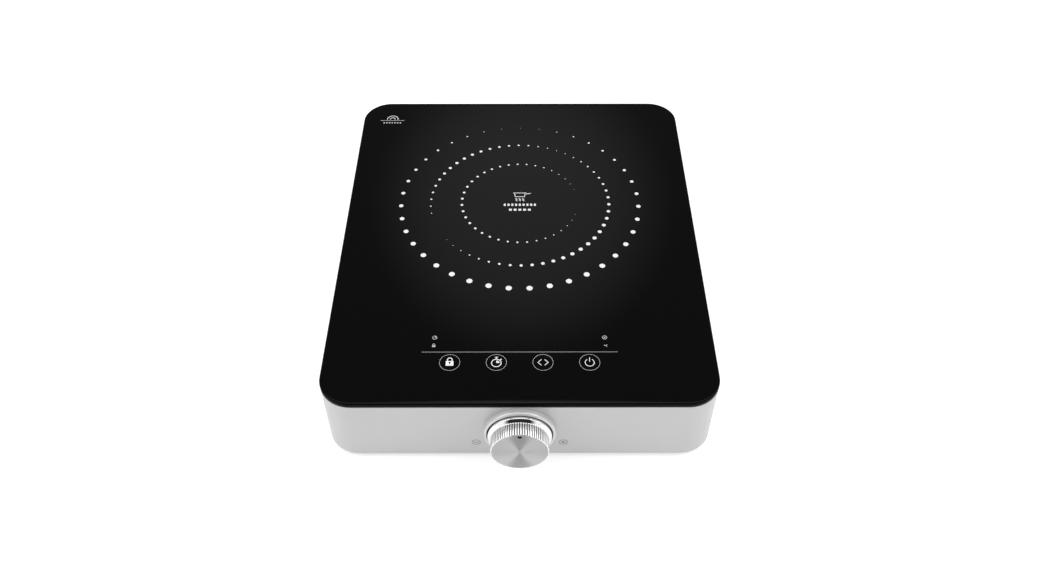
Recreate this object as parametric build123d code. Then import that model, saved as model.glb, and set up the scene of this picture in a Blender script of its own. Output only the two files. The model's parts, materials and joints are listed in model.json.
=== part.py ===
from build123d import *
import math
import os

# A portable single-zone induction hob. Millimetres, +Z up, the knob at -Y.
# The origin is on the table, under the middle of the whole outline, knob included.

# ---- Driving dimensions ---------------------------------------------------------------
GLASS_W = 290.0                 # left to right
GLASS_D = 351.0                 # front to back
GLASS_T = 4.0
GLASS_R = 24.5                  # corners in plan
GLASS_BEVEL = 0.7               # polished bevel round the upper edge
HOB_H = 67.0                    # glass top above the table
FOOT_H = 4.5
GASKET_T = 0.5
ZONE_Y = 36.7                   # cooking zone behind the middle of the glass

WALL = 2.2                      # shell and tray thickness
SHELL_INSET = 0.1               # shell face inside the glass edge
SHELL_ROUND = 0.6               # round on the shell's lower edge
FLANGE_W = 11.0                 # inward ledge that carries the glass
TRAY_GAP = 0.3                  # tray edge to shell wall
TRAY_LIFT = 0.5                 # tray underside above the shell's lower edge

KNOB_DROP = 32.5                # knob axis below the glass top
KNOB_OUT = 18.9                 # knob face in front of the shell
KNOB_SKIRT_R = 23.2
KNOB_SKIRT_OUT = 6.9            # front of the skirt
KNOB_BORE_R = 19.6
KNOB_GRIP_R = 21.8
KNOB_FACE_R = 20.6
KNOB_FACE_T = 1.0
KNOB_WEB_T = 1.6                # wall of the shell behind the face
KNOB_FLUTES = 72
FLUTE_R = 0.66
MARKER_R = 1.2
MARKER_UP = 17.8                # from the knob's axis
BEZEL_R = 26.4
BEZEL_BORE_R = 24.3
BEZEL_OUT = 4.6
BUSHING_R = 4.5                 # encoder's threaded neck
BUSHING_OUT = 4.1
LINER_T = 1.2
HUB_OUT = 4.6                   # back of the knob's core
SHAFT_R = 3.0
FLAT_DEPTH = 1.0                # flat on the shaft that the knob grips
RUNNING_GAP = 0.05              # radial, shaft in bushing and axle in bearing

KEY_X = (-51.3, -17.1, 17.1, 51.3)   # touch keys, from the middle
KEY_Y = -137.4                       # from the middle of the glass
LAMP_X = 63.6
LAMP_Y = (-121.4, -113.6)

COIL_R = 92.0
COIL_HOLE_R = 24.0
COIL_T = 4.5
COIL_PITCH = 3.4                # one turn of the winding
SPOKE_R = 58.0                  # middle of each ferrite bar and of each gap in the former
FAN_SIZE = 92.0
FAN_T = 25.0
FAN_X = -76.0
FAN_Y = 62.0
FAN_BLADES = 7
BOARD_T = 1.6
BOARD_BOX = (-20.0, 130.0, 0.0, 134.0)     # power board, x and y limits from the middle
CONTROL_BOX = (-95.0, 95.0, -151.0, -106.0)
SCREW_R = 1.45                  # M3 self-tapping shank
PILOT_R = 1.5
SCREW_HEAD_R = 2.8
POST_R = 3.6
CLEAR = 0.2                     # between neighbours that don't touch

# ---- Levels and places that follow from them ------------------------------------------
PANEL_Y = (KNOB_OUT - SHELL_INSET) / 2            # middle of the glass
FRONT_Y = PANEL_Y - GLASS_D / 2 + SHELL_INSET     # front face of the shell
REAR_Y = PANEL_Y + GLASS_D / 2 - SHELL_INSET
KNOB_Z = HOB_H - KNOB_DROP
GLASS_Z = HOB_H - GLASS_T
SHELL_TOP = GLASS_Z - GASKET_T
TRAY_Z = FOOT_H + TRAY_LIFT
FLOOR_Z = TRAY_Z + WALL
BOARD_Z = 12.0                                    # power board underside
BOARD_TOP = BOARD_Z + BOARD_T
FAN_Z = FLOOR_Z + 2.0
FAN_TOP = FAN_Z + FAN_T
COIL_Z = 55.5
COIL_TOP = COIL_Z + COIL_T
MICA_T = 0.4
FORMER_T = 3.0
FORMER_Z = COIL_Z - FORMER_T
FERRITE_T = 5.0
CONTROL_Z = 52.8                                  # control board underside
CONTROL_TOP = CONTROL_Z + BOARD_T
BRACKET_T = 2.0
BRACKET_Z = CONTROL_Z - BRACKET_T
LAMP_TOP = GLASS_Z - 1.0
SINK_Z = 20.0                                     # heatsink base underside
SINK_BOX = (-16.0, 44.0, 22.0, 112.0, SINK_Z, 42.0)

SHELL_W = GLASS_W - 2 * SHELL_INSET
SHELL_D = GLASS_D - 2 * SHELL_INSET
SHELL_R = GLASS_R - SHELL_INSET
CORNER_REACH = 12.6                               # corner boss from the corner's centre, each way
CORNER_BOSS = (SHELL_W / 2 - SHELL_R + CORNER_REACH, SHELL_D / 2 - SHELL_R + CORNER_REACH)
SIDE_BOSS_X = SHELL_W / 2 - WALL - 4.2
BASE_SCREWS = [(sx * CORNER_BOSS[0], sy * CORNER_BOSS[1]) for sx in (-1, 1) for sy in (-1, 1)]
BASE_SCREWS += [(-SIDE_BOSS_X, 0.0), (SIDE_BOSS_X, 0.0)]
FOOT_R = 8.5
FOOT_STEM_R = 2.3
FOOT_X = 112.0
FOOT_Y = 142.0
FEET = [(sx * FOOT_X, sy * FOOT_Y) for sx in (-1, 1) for sy in (-1, 1)]
FAN_HOLE = FAN_SIZE / 2 - 4.75
FAN_SCREWS = [(FAN_X + sx * FAN_HOLE, FAN_Y + sy * FAN_HOLE) for sx in (-1, 1) for sy in (-1, 1)]
BOARD_SCREWS = [
    (x, y) for x in (BOARD_BOX[0] + 6, BOARD_BOX[1] - 6) for y in (BOARD_BOX[2] + 6, BOARD_BOX[3] - 6)
]
CONTROL_SCREWS = [(x, y) for x in (-90.0, 90.0) for y in (-147.0, -110.0)]
COIL_EAR_R = 102.0
COIL_EARS = [math.radians(a) for a in (90, 210, 330)]
COIL_SCREWS = [(COIL_EAR_R * math.cos(a), ZONE_Y + COIL_EAR_R * math.sin(a)) for a in COIL_EARS]
GRILLE_X = 58.0                                   # exhaust grille in the rear wall
GRILLE_W = 112.0
GRILLE_H = 26.0
GRILLE_Z = 32.0
GLAND_X = -105.0
GLAND_Z = 22.0
GLAND_BORE_R = 3.7                                # takes a 7 mm round mains cord
GLAND_HOLE_R = 6.5
GLAND_BACK = -6.0                                 # inner end, from the rear wall's face
ENCODER_SCREWS_X = (-17.0, 17.0)
ENCODER_T = 7.0
BASE_BOSS_R = 4.6
COIL_POST_R = 4.2


# ---- Helpers --------------------------------------------------------------------------
def slab(w, d, r, z0, z1):
    """A plate with round corners over the middle of the glass."""
    return Pos(0, PANEL_Y, z0) * extrude(RectangleRounded(w, d, r), z1 - z0)


def block(x0, x1, y0, y1, z0, z1, edge=0.0):
    """A box from limits measured from the middle of the glass, its upright edges rounded."""
    place = Pos((x0 + x1) / 2, PANEL_Y + (y0 + y1) / 2, z0)
    if edge:
        return place * extrude(RectangleRounded(x1 - x0, y1 - y0, edge), z1 - z0)
    return place * Box(x1 - x0, y1 - y0, z1 - z0, align=(Align.CENTER, Align.CENTER, Align.MIN))


def post(x, y, r, z0, z1):
    """An upright cylinder at a place measured from the middle of the glass."""
    return Pos(x, PANEL_Y + y, z0) * Cylinder(r, z1 - z0, align=(Align.CENTER, Align.CENTER, Align.MIN))


def tube(x, y, r_out, r_in, z0, z1):
    return post(x, y, r_out, z0, z1) - post(x, y, r_in, z0 - 1, z1 + 1)


def turned(*points):
    """A solid turned about the knob's axis from (radius, distance in front of the shell) points."""
    outline = make_face(Polyline(*[(r, -out) for r, out in points], close=True))
    return Pos(0, FRONT_Y, KNOB_Z) * revolve(outline, Axis.Y)


def forward(r, out0, out1, x=0.0, z=KNOB_Z):
    """A cylinder along Y between two distances in front of the shell."""
    rod = Rot(90, 0, 0) * Cylinder(r, out1 - out0, align=(Align.CENTER, Align.CENTER, Align.MIN))
    return Pos(x, FRONT_Y - out0, z) * rod


def pan_screw(x, y, seat, length, up=1):
    """A pan-head screw whose head rests on seat: up=1 points the head up, up=-1 down."""
    head = post(x, y, SCREW_HEAD_R, seat, seat + 1.7)
    head = fillet(head.edges().group_by(Axis.Z)[-1], 0.8)
    drive = Pos(x, PANEL_Y + y, seat + 1.7) * (Box(3.0, 0.6, 1.6) + Box(0.6, 3.0, 1.6))
    screw = head - drive + post(x, y, SCREW_R, seat - length, seat)
    if up < 0:
        screw = Pos(0, 0, seat) * (Rot(180, 0, 0) * (Pos(-x, -PANEL_Y - y, -seat) * screw))
        screw = Pos(x, PANEL_Y + y, 0) * screw
    return screw


def lead(points, r, radius):
    """A round wire along straight runs joined by tangent arcs."""
    path = FilletPolyline(*[(x, PANEL_Y + y, z) for x, y, z in points], radius=radius)
    start = path @ 0
    return sweep(Plane(origin=start, z_dir=path % 0) * Circle(r), path)


def group(solids):
    return Compound(list(solids))


# ---- Enclosure ------------------------------------------------------------------------
def glass_panel():
    glass = slab(GLASS_W, GLASS_D, GLASS_R, GLASS_Z, HOB_H)
    glass = chamfer(glass.edges().group_by(Axis.Z)[-1], GLASS_BEVEL)
    return chamfer(glass.edges().group_by(Axis.Z)[0], 0.3)


def glass_gasket():
    """A bead of silicone on the shell's ledge, held back from its edge."""
    margin = 1.2
    width = 6.0
    outer = slab(SHELL_W - 2 * margin, SHELL_D - 2 * margin, SHELL_R - margin, SHELL_TOP, GLASS_Z)
    inset = margin + width
    inner_w, inner_d = SHELL_W - 2 * inset, SHELL_D - 2 * inset
    return outer - slab(inner_w, inner_d, SHELL_R - inset, SHELL_TOP - 1, GLASS_Z + 1)


def housing():
    """The one-piece side shell: four walls, the ledge under the glass, screw bosses and front bosses."""
    shell = slab(SHELL_W, SHELL_D, SHELL_R, FOOT_H, SHELL_TOP)
    shell = fillet(shell.edges().group_by(Axis.Z)[0], SHELL_ROUND)
    inner_w, inner_d, inner_r = SHELL_W - 2 * WALL, SHELL_D - 2 * WALL, SHELL_R - WALL
    shell -= slab(inner_w, inner_d, inner_r, FOOT_H - 1, SHELL_TOP - WALL)
    window_w, window_d = SHELL_W - 2 * FLANGE_W, SHELL_D - 2 * FLANGE_W
    shell -= slab(window_w, window_d, SHELL_R - FLANGE_W, SHELL_TOP - WALL - 1, SHELL_TOP + 1)
    inside = slab(SHELL_W - 2, SHELL_D - 2, SHELL_R - 1, FLOOR_Z, SHELL_TOP)
    for x, y in BASE_SCREWS:
        shell += post(x, y, BASE_BOSS_R, FLOOR_Z, SHELL_TOP - WALL / 2) & inside
    for x in ENCODER_SCREWS_X:
        shell += forward(3.2, -WALL - ENCODER_T - CLEAR, -WALL / 2, x)
    shell -= [post(x, y, PILOT_R, FLOOR_Z - 1, FLOOR_Z + 12) for x, y in BASE_SCREWS]
    shell -= [forward(PILOT_R, -WALL - ENCODER_T - 1, -WALL - 1, x) for x in ENCODER_SCREWS_X]
    shell -= forward(BUSHING_R + CLEAR, -WALL - 1, 1)
    mouth = Rot(90, 0, 0) * extrude(RectangleRounded(GRILLE_W, GRILLE_H, 4.0), 20, both=True)
    shell -= Pos(GRILLE_X, REAR_Y, GRILLE_Z) * mouth & block(-150, 150, 150, 180, 0, HOB_H)
    shell -= Pos(GLAND_X, REAR_Y, GLAND_Z) * (Rot(90, 0, 0) * Cylinder(GLAND_HOLE_R, 4 * WALL))
    return shell


def intake_slots():
    """Parallel slots that fill a circle under the fan, with a bar left down the middle."""
    reach = FAN_SIZE / 2 - 6
    pitch, width, bar = 5.4, 2.8, 5.0
    slots = []
    for k in range(-7, 8):
        run = math.sqrt(reach**2 - (k * pitch) ** 2) - bar / 2
        for side in (-1, 1):
            place = Pos(FAN_X + side * (bar + run) / 2, PANEL_Y + FAN_Y + k * pitch, TRAY_Z - 1)
            slots.append(place * extrude(SlotOverall(run, width), WALL + 2))
    return slots


def exhaust_slots():
    """Two rows of slots across the tray's rear right quarter."""
    first_x, first_y = 20.0, 143.5
    pitch_x, pitch_y = 8.0, 13.0
    slots = []
    for row in range(2):
        for k in range(10):
            place = Pos(first_x + pitch_x * k, PANEL_Y + first_y + pitch_y * row, TRAY_Z - 1)
            slots.append(place * extrude(Rot(0, 0, 90) * SlotOverall(10.0, 3.0), WALL + 2))
    return slots


def base_tray():
    w = SHELL_W - 2 * (WALL + TRAY_GAP)
    d = SHELL_D - 2 * (WALL + TRAY_GAP)
    r = SHELL_R - WALL - TRAY_GAP
    tray = slab(w, d, r, TRAY_Z, FLOOR_Z)
    lip_t, lip_z = 1.6, FLOOR_Z + 5
    lip = slab(w, d, r, FLOOR_Z, lip_z)
    lip -= slab(w - 2 * lip_t, d - 2 * lip_t, r - lip_t, FLOOR_Z - 1, lip_z + 1)
    tray += lip - [post(x, y, BASE_BOSS_R + 0.6, FLOOR_Z - 1, lip_z + 1) for x, y in BASE_SCREWS]
    for x, y in FAN_SCREWS:
        tray += post(x, y, POST_R, FLOOR_Z, FAN_Z)
    for x, y in BOARD_SCREWS:
        tray += post(x, y, POST_R, FLOOR_Z, BOARD_Z)
    for x, y in COIL_SCREWS:
        tray += post(x, y, COIL_POST_R, FLOOR_Z, FORMER_Z)
    for x, y in CONTROL_SCREWS:
        tray += post(x, y, POST_R, FLOOR_Z, BRACKET_Z)
    tray -= [post(x, y, PILOT_R, TRAY_Z + 0.8, FAN_Z + 1) for x, y in FAN_SCREWS]
    tray -= [post(x, y, PILOT_R, TRAY_Z + 0.8, BOARD_Z + 1) for x, y in BOARD_SCREWS]
    tray -= [post(x, y, PILOT_R, FORMER_Z - 10, FORMER_Z + 1) for x, y in COIL_SCREWS]
    tray -= [post(x, y, PILOT_R, BRACKET_Z - 10, BRACKET_Z + 1) for x, y in CONTROL_SCREWS]
    tray -= [post(x, y, PILOT_R, TRAY_Z - 1, FLOOR_Z + 1) for x, y in BASE_SCREWS]
    tray -= [post(x, y, FOOT_STEM_R + CLEAR, TRAY_Z - 1, FLOOR_Z + 1) for x, y in FEET]
    return tray - intake_slots() - exhaust_slots()


def feet():
    """Four silicone feet, each with a stem through the tray and a head that holds it."""
    pads = []
    for x, y in FEET:
        pad = chamfer(post(x, y, FOOT_R, 0, TRAY_Z).edges().group_by(Axis.Z)[0], 0.6)
        stem = post(x, y, FOOT_STEM_R, TRAY_Z, FLOOR_Z + CLEAR)
        pads.append(pad + stem + post(x, y, FOOT_STEM_R + 1.1, FLOOR_Z, FLOOR_Z + 1.6))
    return group(pads)


def base_screws():
    return group(pan_screw(x, y, TRAY_Z, 10.0, up=-1) for x, y in BASE_SCREWS)


def rear_grille():
    """A louvred insert that fills the rear wall's opening, with a flange behind the wall."""
    def plate(w, h, r, y0, y1):
        sketch = Rot(90, 0, 0) * extrude(RectangleRounded(w, h, r), y1 - y0)
        return Pos(GRILLE_X, y1, GRILLE_Z) * sketch

    inner_y = REAR_Y - WALL
    grille = plate(GRILLE_W - 0.4, GRILLE_H - 0.4, 3.8, inner_y, REAR_Y)
    grille += plate(GRILLE_W + 5, GRILLE_H + 5, 5.0, inner_y - 1.5, inner_y)
    count = 19
    pitch = (GRILLE_W - 10) / count
    slot = Rot(90, 0, 0) * extrude(Rot(0, 0, 90) * SlotOverall(GRILLE_H - 7, 3.0), 6, both=True)
    across = [(k - (count - 1) / 2) * pitch for k in range(count)]
    return grille - [Pos(GRILLE_X + x, REAR_Y, GRILLE_Z) * slot for x in across]


def cord_gland():
    """The bush in the rear wall that a mains cord would leave through."""
    collar, neck = GLAND_HOLE_R + 1.6, GLAND_HOLE_R - 0.1
    points = [
        (GLAND_BORE_R, GLAND_BACK), (collar, GLAND_BACK), (collar, -WALL), (neck, -WALL), (neck, SHELL_INSET),
        (GLAND_BORE_R, SHELL_INSET),
    ]
    outline = make_face(Polyline(*points, close=True))
    return Pos(GLAND_X, REAR_Y, GLAND_Z) * revolve(outline, Axis.Y)


# ---- Knob and encoder -----------------------------------------------------------------
def knob_bezel():
    """The round-shouldered ring on the front wall that the knob's skirt sits in."""
    shoulder = 1.5
    turn = [math.radians(a) for a in (0, 30, 60, 90)]
    round_over = [
        (BEZEL_R - shoulder * (1 - math.cos(a)), BEZEL_OUT - shoulder * (1 - math.sin(a))) for a in turn
    ]
    lip = [(BEZEL_BORE_R + 0.25, BEZEL_OUT), (BEZEL_BORE_R, BEZEL_OUT - 0.3)]
    return turned((BEZEL_BORE_R, 0), (BEZEL_R, 0), *round_over, *lip)


def bezel_liner():
    """The black disc behind the knob, clamped under the encoder's nut."""
    hole, rim = BUSHING_R + CLEAR, BEZEL_BORE_R - CLEAR
    return turned((hole, 0), (rim, 0), (rim, LINER_T), (hole, LINER_T))


def knob_shell():
    """The chromed outer of the knob: a plain skirt, a fluted grip and a seat for the face."""
    seat = KNOB_OUT - KNOB_FACE_T
    skirt_back = LINER_T + 1.0
    shell = turned(
        (KNOB_BORE_R, skirt_back), (KNOB_SKIRT_R - 0.3, skirt_back), (KNOB_SKIRT_R, skirt_back + 0.3),
        (KNOB_SKIRT_R, KNOB_SKIRT_OUT - 0.3), (KNOB_SKIRT_R - 0.3, KNOB_SKIRT_OUT),
        (KNOB_GRIP_R, KNOB_SKIRT_OUT),
        (KNOB_GRIP_R, KNOB_OUT - 1.3), (KNOB_FACE_R + 0.35, KNOB_OUT), (KNOB_FACE_R + 0.05, KNOB_OUT),
        (KNOB_FACE_R + 0.05, seat), (0, seat), (0, seat - KNOB_WEB_T), (KNOB_BORE_R, seat - KNOB_WEB_T),
    )
    flute = forward(FLUTE_R, KNOB_SKIRT_OUT, KNOB_OUT + 1, KNOB_GRIP_R + 0.12, 0)
    turn = 360.0 / KNOB_FLUTES
    return shell - [Pos(0, 0, KNOB_Z) * (Rot(0, turn * k, 0) * flute) for k in range(KNOB_FLUTES)]


def knob_hub():
    """The plastic core that grips the encoder's flatted shaft."""
    web = KNOB_OUT - KNOB_FACE_T - KNOB_WEB_T
    rim, wall, post_r = KNOB_BORE_R - CLEAR, 1.8, 7.5
    hub = turned((0, HUB_OUT), (rim, HUB_OUT), (rim, web), (0, web))
    back, front = HUB_OUT - 1, web - 2.4
    hollow = turned((post_r, back), (rim - wall, back), (rim - wall, front), (post_r, front))
    bar = Box(2 * (rim - 0.4), web - HUB_OUT, 1.4)
    ribs = [Pos(0, FRONT_Y - (HUB_OUT + web) / 2, KNOB_Z) * (Rot(0, a, 0) * bar) for a in (0, 60, 120)]
    hub = hub - hollow + ribs
    bore = forward(SHAFT_R + 0.02, HUB_OUT - 1, web - 1.6)
    flat = Pos(0, FRONT_Y - web / 2, KNOB_Z + SHAFT_R) * Box(8, web + 4, 2 * FLAT_DEPTH)
    return hub - (bore - flat)


def knob_face():
    """The spun metal disc let into the front of the knob, with a pit for the marker."""
    back, front = KNOB_OUT - KNOB_FACE_T, KNOB_OUT
    r = KNOB_FACE_R
    disc = turned((0, back), (r, back), (r, front - 0.15), (r - 0.15, front), (0, front))
    return disc - forward(MARKER_R + 0.05, front - 0.5, front + 1, 0, KNOB_Z + MARKER_UP)


def knob_marker():
    """The black dot that shows which way the knob is turned."""
    return forward(MARKER_R, KNOB_OUT - 0.5, KNOB_OUT - 0.1, 0, KNOB_Z + MARKER_UP)


def encoder_body():
    back = -WALL - ENCODER_T
    body = Pos(0, FRONT_Y - (back - WALL) / 2, KNOB_Z) * Box(14.0, ENCODER_T, 13.0)
    return body - forward(SHAFT_R + CLEAR, back + 3, 0)


def encoder_bushing():
    """The threaded neck that clamps the encoder to the wall and carries its shaft."""
    bore = SHAFT_R + RUNNING_GAP
    return turned(
        (bore, -WALL), (BUSHING_R, -WALL), (BUSHING_R, BUSHING_OUT - 0.4), (BUSHING_R - 0.4, BUSHING_OUT),
        (bore, BUSHING_OUT),
    )


def encoder_shaft():
    """The turning shaft, flatted where the knob grips it."""
    front = KNOB_OUT - KNOB_FACE_T - KNOB_WEB_T - 2.0
    shaft = forward(SHAFT_R, -WALL - 3.6, front)
    flat_back, flat_front = HUB_OUT - 0.2, front + 1
    flat = Box(8, flat_front - flat_back, 2 * FLAT_DEPTH + 0.04)
    return shaft - Pos(0, FRONT_Y - (flat_back + flat_front) / 2, KNOB_Z + SHAFT_R) * flat


def encoder_nut():
    """A thin hexagon nut on the liner."""
    blank = Rot(90, 0, 0) * extrude(RegularPolygon(6.0, 6, major_radius=False), 2.0)
    return Pos(0, FRONT_Y - LINER_T, KNOB_Z) * blank - forward(BUSHING_R + 0.03, 0, 5)


def encoder_board():
    y = WALL + ENCODER_T + CLEAR
    board = Pos(0, FRONT_Y + y + BOARD_T / 2, KNOB_Z) * Box(46.0, BOARD_T, 26.0)
    return board - [forward(1.6, -y - BOARD_T - 1, -y + 1, x) for x in ENCODER_SCREWS_X]


def encoder_screws():
    seat = FRONT_Y + WALL + ENCODER_T + CLEAR + BOARD_T
    screws = []
    for x in ENCODER_SCREWS_X:
        upright = Pos(0, -PANEL_Y, 0) * pan_screw(0, 0, 0, 6.5)
        screws.append(Pos(x, seat, KNOB_Z) * (Rot(-90, 0, 0) * upright))
    return group(screws)


def encoder_lead():
    x, z = 8.0, 42.0
    start_y = FRONT_Y - PANEL_Y + WALL + ENCODER_T + CLEAR + BOARD_T
    end_y = -136.0
    return lead([(x, start_y, z), (x, end_y, z), (x, end_y, CONTROL_Z)], 1.1, 6.0)


# ---- Touch control --------------------------------------------------------------------
def control_bracket():
    x0, x1, y0, y1 = CONTROL_BOX
    plate = block(x0 - 2, x1 + 2, y0 - 2, y1 + 2, BRACKET_Z, CONTROL_Z, edge=4)
    plate -= block(x0 + 12, x1 - 12, y0 + 7, y1 - 7, BRACKET_Z - 1, CONTROL_Z + 1, edge=3)
    rim = block(x0 - 2, x1 + 2, y0 - 2, y1 + 2, CONTROL_Z, CONTROL_TOP, edge=4)
    rim -= block(x0 - 0.3, x1 + 0.3, y0 - 0.3, y1 + 0.3, CONTROL_Z - 1, CONTROL_TOP + 1, edge=2.3)
    return plate + rim - [post(x, y, 1.7, BRACKET_Z - 1, CONTROL_Z + 1) for x, y in CONTROL_SCREWS]


def control_board():
    x0, x1, y0, y1 = CONTROL_BOX
    board = block(x0, x1, y0, y1, CONTROL_Z, CONTROL_TOP, edge=2)
    return board - [post(x, y, 1.7, CONTROL_Z - 1, CONTROL_TOP + 1) for x, y in CONTROL_SCREWS]


def control_screws():
    return group(pan_screw(x, y, CONTROL_TOP, 9.0) for x, y in CONTROL_SCREWS)


def touch_springs():
    """Four sensing springs between the board and the glass, as ribbed sleeves of the coils' outer shape."""
    turns = 6
    rise = (GLASS_Z - CLEAR - CONTROL_TOP) / turns
    outline = [(4.0, 0.0)]
    for k in range(turns):
        outline += [(4.4, (k + 0.15) * rise), (5.0, (k + 0.5) * rise), (4.4, (k + 0.85) * rise)]
    outline += [(4.0, turns * rise)]
    face = make_face(Polyline(*outline, close=True))
    sleeve = revolve(Rot(90, 0, 0) * face, Axis.Z)
    return group(Pos(x, PANEL_Y + KEY_Y, CONTROL_TOP) * sleeve for x in KEY_X)


def display_module():
    """The digit display, four windows in a black block."""
    body = block(-26, 26, -127, -108, CONTROL_TOP, LAMP_TOP, edge=0.8)
    windows = [block(x - 4.6, x + 4.6, -125, -110, LAMP_TOP - 0.6, LAMP_TOP + 1) for x in (-18, -6, 6, 18)]
    return body - windows


def light_shields():
    """Two blocks that keep each indicator lamp's light to its own symbol."""
    blocks = []
    for x in (-LAMP_X, LAMP_X):
        body = block(x - 5.5, x + 5.5, LAMP_Y[0] - 5, LAMP_Y[1] + 5, CONTROL_TOP, LAMP_TOP, edge=1)
        blocks.append(body - [post(x, y, 2.3, CONTROL_TOP - 1, LAMP_TOP + 1) for y in LAMP_Y])
    return group(blocks)


def indicator_leds():
    """Four lamps, each a collar and a domed lens."""
    lamps = []
    for x in (-LAMP_X, LAMP_X):
        for y in LAMP_Y:
            lens = post(x, y, 1.5, CONTROL_TOP + 1, CONTROL_TOP + 4.5)
            lens = fillet(lens.edges().group_by(Axis.Z)[-1], 1.3)
            lamps.append(lens + post(x, y, 1.9, CONTROL_TOP, CONTROL_TOP + 1))
    return group(lamps)


RIBBON_X = 40.0
RIBBON_ENDS = (-118.0, 7.0)     # y of the upper and the lower socket
SOCKET_H = 5.5


def ribbon_sockets():
    x0, x1 = RIBBON_X - 10, RIBBON_X + 10
    upper_y, lower_y = RIBBON_ENDS
    upper = block(x0, x1, upper_y - 3, upper_y + 3, CONTROL_Z - SOCKET_H, CONTROL_Z)
    lower = block(x0, x1, lower_y - 3, lower_y + 3, BOARD_TOP, BOARD_TOP + SOCKET_H)
    return group([upper, lower])


def ribbon_cable():
    """The flat cable from the control board to the power board."""
    start, end = RIBBON_ENDS
    route = [(start, CONTROL_Z - SOCKET_H), (start, 30), (-86, 17), (-30, 15)]
    route += [(end, 34), (end, BOARD_TOP + SOCKET_H)]
    path = FilletPolyline(*[(RIBBON_X, PANEL_Y + y, z) for y, z in route], radius=5.0)
    section = Plane(origin=path @ 0, x_dir=(1, 0, 0), z_dir=path % 0) * Rectangle(16.0, 0.8)
    return sweep(section, path)


# ---- Coil -----------------------------------------------------------------------------
def induction_coil():
    """The flat winding: one solid with a rib for each turn."""
    turns = int((COIL_R - COIL_HOLE_R) / COIL_PITCH)
    dip = 0.7
    upper, lower = [], []
    for k in range(turns):
        r = COIL_HOLE_R + k * COIL_PITCH
        upper += [(r, COIL_T - dip), (r + 0.3 * COIL_PITCH, COIL_T), (r + 0.7 * COIL_PITCH, COIL_T)]
        lower += [(r, dip), (r + 0.3 * COIL_PITCH, 0), (r + 0.7 * COIL_PITCH, 0)]
    rim = COIL_HOLE_R + turns * COIL_PITCH
    outline = upper + [(rim, COIL_T - dip), (rim, dip)] + lower[::-1]
    face = make_face(Polyline(*outline, close=True))
    return Pos(0, PANEL_Y + ZONE_Y, COIL_Z) * revolve(Rot(90, 0, 0) * face, Axis.Z)


def coil_former():
    """The moulded plate that holds the winding above the ferrites, on three ears."""
    rim = COIL_R + 1.0
    former = post(0, ZONE_Y, rim + 2.5, FORMER_Z, COIL_Z)
    former += tube(0, ZONE_Y, rim + 2.5, rim, COIL_Z, COIL_TOP - 1)
    former += tube(0, ZONE_Y, COIL_HOLE_R - 0.6, COIL_HOLE_R - 2.4, COIL_Z, COIL_TOP - 1)
    for x, y in COIL_SCREWS:
        former += post(x, y, 6.0, FORMER_Z, COIL_Z)
        arm = Pos(0, PANEL_Y + ZONE_Y, FORMER_Z) * (
            Rot(0, 0, math.degrees(math.atan2(y - ZONE_Y, x)))
            * Pos(COIL_R + 4, 0, 0)
            * Box(14, 12, FORMER_T, align=(Align.CENTER, Align.CENTER, Align.MIN))
        )
        former += arm & post(0, ZONE_Y, COIL_EAR_R, FORMER_Z, COIL_Z)
    former -= [post(x, y, 1.7, FORMER_Z - 1, COIL_Z + 1) for x, y in COIL_SCREWS]
    former -= post(0, ZONE_Y, 9.3, FORMER_Z - 1, COIL_Z + 1)
    for k in range(8):
        window = Pos(SPOKE_R, 0, FORMER_Z - 1) * extrude(SlotOverall(52, 14), FORMER_T + 2)
        former -= Pos(0, PANEL_Y + ZONE_Y, 0) * (Rot(0, 0, 22.5 + 45 * k) * window)
    return former


def ferrite_bars():
    bar = Box(60, 13, FERRITE_T, align=(Align.CENTER, Align.CENTER, Align.MIN))
    bar = Pos(SPOKE_R, 0, FORMER_Z - FERRITE_T) * chamfer(bar.edges().filter_by(Axis.Z), 1.0)
    return group(Pos(0, PANEL_Y + ZONE_Y, 0) * (Rot(0, 0, 45 * k) * bar) for k in range(8))


def mica_sheet():
    return tube(0, ZONE_Y, COIL_R + 2, 11, COIL_TOP, COIL_TOP + MICA_T)


def insulation_pad():
    return tube(0, ZONE_Y, COIL_R - 2, 13, COIL_TOP + MICA_T, GLASS_Z - CLEAR)


def sensor_holder():
    """A silicone cup that presses the sensor to the glass."""
    cup = post(0, ZONE_Y, 9.1, FORMER_Z, COIL_TOP + 1.4) + post(0, ZONE_Y, 13, FORMER_Z - 2, FORMER_Z)
    return cup - post(0, ZONE_Y, 3.0, FORMER_Z - 3, COIL_TOP + 2)


def temperature_sensor():
    """The glass bead sensor and its pair of wires, run over the heatsink to the power board."""
    bead_z = GLASS_Z - 2.4
    bead = post(0, ZONE_Y, 2.4, bead_z, GLASS_Z - CLEAR)
    bead = fillet(bead.edges().group_by(Axis.Z)[-1], 0.8)
    run_z = 45.2
    end_x, end_y = 52.0, 18.0
    route = [(0, ZONE_Y, bead_z), (0, ZONE_Y, run_z), (end_x, end_y, run_z), (end_x, end_y, BOARD_TOP)]
    return bead + lead(route, 0.9, 5.0)


def coil_screws():
    return group(pan_screw(x, y, COIL_Z, 11.0) for x, y in COIL_SCREWS)


COIL_LEAD_R = (66.0, 80.0)      # where the winding's ends leave it, from the zone's middle
COIL_LEAD_ANGLE = -22.5
TERMINAL_X = (63.0, 77.0)
TERMINAL_Y = 9.0
TERMINAL_H = 6.6


def coil_terminals():
    terminals = []
    for x in TERMINAL_X:
        body = block(x - 4, x + 4, TERMINAL_Y - 4, TERMINAL_Y + 4, BOARD_TOP, BOARD_TOP + TERMINAL_H)
        terminals.append(chamfer(body.edges().group_by(Axis.Z)[-1], 0.6))
    return group(terminals)


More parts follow.
